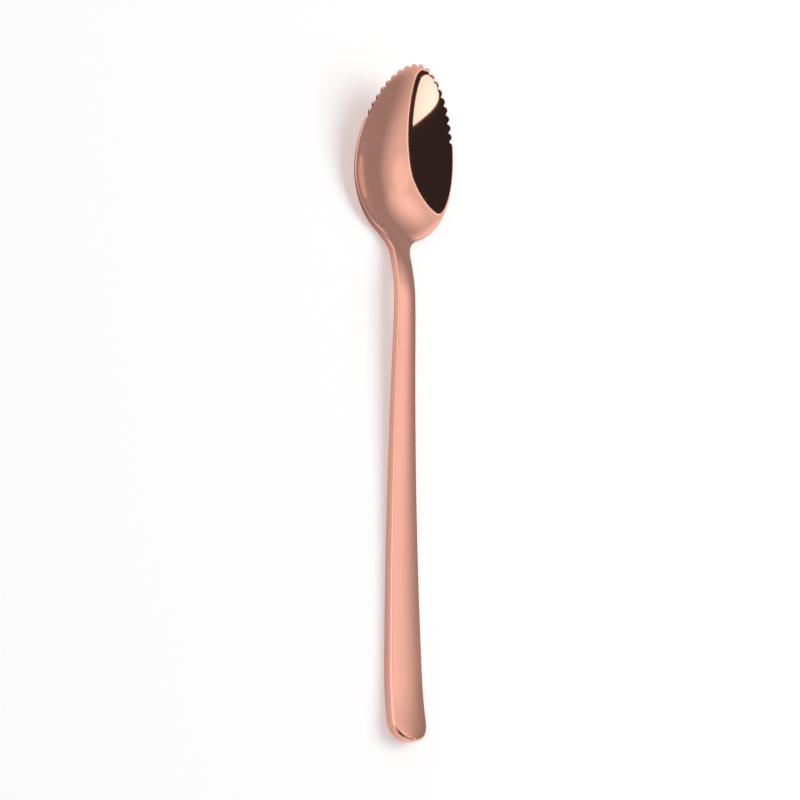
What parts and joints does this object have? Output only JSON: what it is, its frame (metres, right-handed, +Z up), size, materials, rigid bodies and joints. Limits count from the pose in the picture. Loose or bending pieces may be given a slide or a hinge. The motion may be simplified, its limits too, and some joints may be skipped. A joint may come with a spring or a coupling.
{
  "type": "fruit scraping spoon",
  "caption": "Polished metal spoon with a serrated oval bowl tip and a long tapered handle, for scooping and scraping the flesh out of fruit.",
  "frame": {"origin": "on the table, under the middle of the spoon's length and width", "axes": "+Y from the handle's end to the bowl's tip, +Z up out of the bowl, +X across the bowl"},
  "size_m": [0.028, 0.17, 0.0135],
  "materials": {
    "bowl_steel": "mirror polished, with a rose gold coating",
    "handle_steel": "mirror polished, with a rose gold coating"
  },
  "bodies": {
    "root": {"bowl": "bowl_steel", "handle": "handle_steel"}
  },
  "joints": []
}
